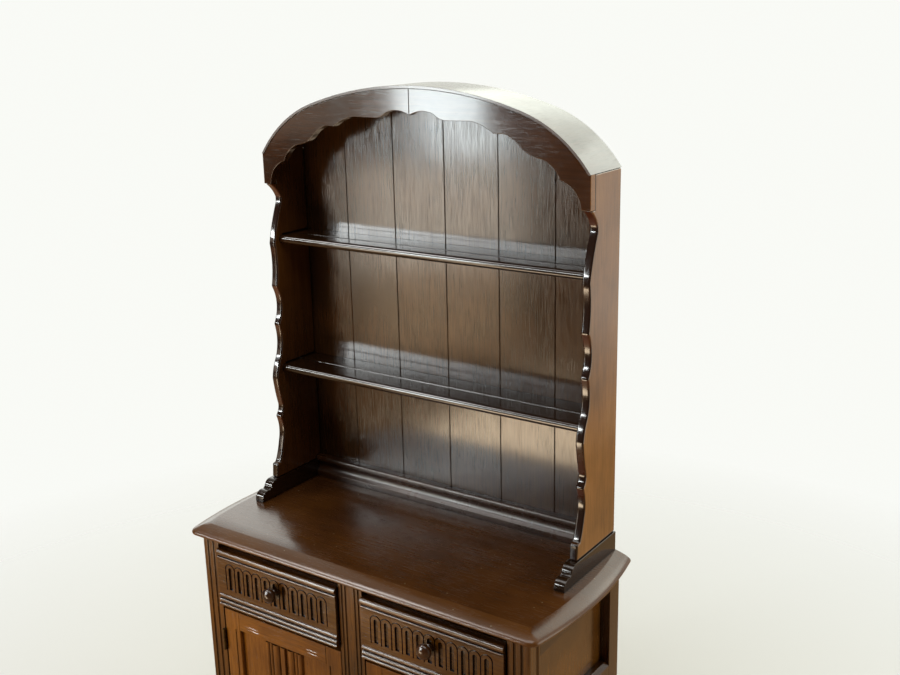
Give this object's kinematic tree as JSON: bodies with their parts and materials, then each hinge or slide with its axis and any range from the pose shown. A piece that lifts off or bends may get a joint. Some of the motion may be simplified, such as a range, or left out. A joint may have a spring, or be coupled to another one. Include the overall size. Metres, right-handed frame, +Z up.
{
  "type": "dresser",
  "caption": "Arched oak dresser: a plate rack with scalloped front and wavy sides on a low cupboard with fluted drawers over folded-panel doors.",
  "frame": {"origin": "on the floor, under the middle of the whole piece, knobs counted", "axes": "+Z up, the front with its drawers and doors faces -Y, +X to the right of a person who faces it"},
  "size_m": [0.966, 0.431, 1.7529],
  "materials": {
    "oak_dark": "dark stained oak, satin lacquer",
    "oak_top": "dark stained oak, polished",
    "oak_boards": "dark stained oak boards, satin lacquer",
    "plain_wood": "plain inner wood, lightly stained",
    "hinge_metal": "aged brass",
    "screw_steel": "dull steel"
  },
  "bodies": {
    "cabinet": {"arch_fascia_left": "oak_dark", "arch_fascia_right": "oak_dark", "arch_roof": "oak_top", "back_boards": "oak_boards", "back_rail": "oak_dark", "base_back_panel": "plain_wood", "centre_muntin": "oak_dark", "cupboard_floor": "plain_wood", "cupboard_shelf": "plain_wood", "door_stop": "plain_wood", "drawer_kickers": "plain_wood", "drawer_runners": "plain_wood", "front_bottom_rail": "oak_dark", "front_post_left": "oak_dark", "front_post_right": "oak_dark", "front_top_rail": "oak_dark", "hinge_pins": "hinge_metal", "lower_shelf": "oak_top", "mid_rail": "oak_dark", "plinth_boards": "oak_dark", "post_hinge_leaves": "hinge_metal", "rack_foot_left": "oak_dark", "rack_foot_right": "oak_dark", "rack_screws": "screw_steel", "rack_side_left": "oak_dark", "rack_side_right": "oak_dark", "rear_post_left": "oak_dark", "rear_post_right": "oak_dark", "rear_rails": "plain_wood", "shelf_battens": "plain_wood", "side_panel_left": "oak_dark", "side_panel_right": "oak_dark", "side_rails_left": "oak_dark", "side_rails_right": "oak_dark", "table_top": "oak_top", "upper_shelf": "oak_top"},
    "left_drawer": {"left_drawer_back": "plain_wood", "left_drawer_bottom": "plain_wood", "left_drawer_front": "oak_dark", "left_drawer_knob": "oak_dark", "left_drawer_sides": "plain_wood"},
    "left_door": {"left_door_hinge_leaves": "hinge_metal", "left_door_knob": "oak_dark", "left_door_panel": "oak_dark", "left_door_rails": "oak_dark", "left_door_stiles": "oak_dark"},
    "right_drawer": {"right_drawer_back": "plain_wood", "right_drawer_bottom": "plain_wood", "right_drawer_front": "oak_dark", "right_drawer_knob": "oak_dark", "right_drawer_sides": "plain_wood"},
    "right_door": {"right_door_hinge_leaves": "hinge_metal", "right_door_knob": "oak_dark", "right_door_panel": "oak_dark", "right_door_rails": "oak_dark", "right_door_stiles": "oak_dark"}
  },
  "joints": [
    {"name": "left_drawer_slide", "type": "slide", "parent": "cabinet", "child": "left_drawer", "axis": [0, -1, 0], "range_m": [0, 0.25]},
    {"name": "right_drawer_slide", "type": "slide", "parent": "cabinet", "child": "right_drawer", "axis": [0, -1, 0], "range_m": [0, 0.25]},
    {"name": "left_door_hinge", "type": "hinge", "parent": "cabinet", "child": "left_door", "pos_m": [-0.389, -0.18, 0.34], "axis": [0, 0, -1], "range_deg": [0, 110]},
    {"name": "right_door_hinge", "type": "hinge", "parent": "cabinet", "child": "right_door", "pos_m": [0.389, -0.18, 0.34], "axis": [0, 0, 1], "range_deg": [0, 110]}
  ]
}
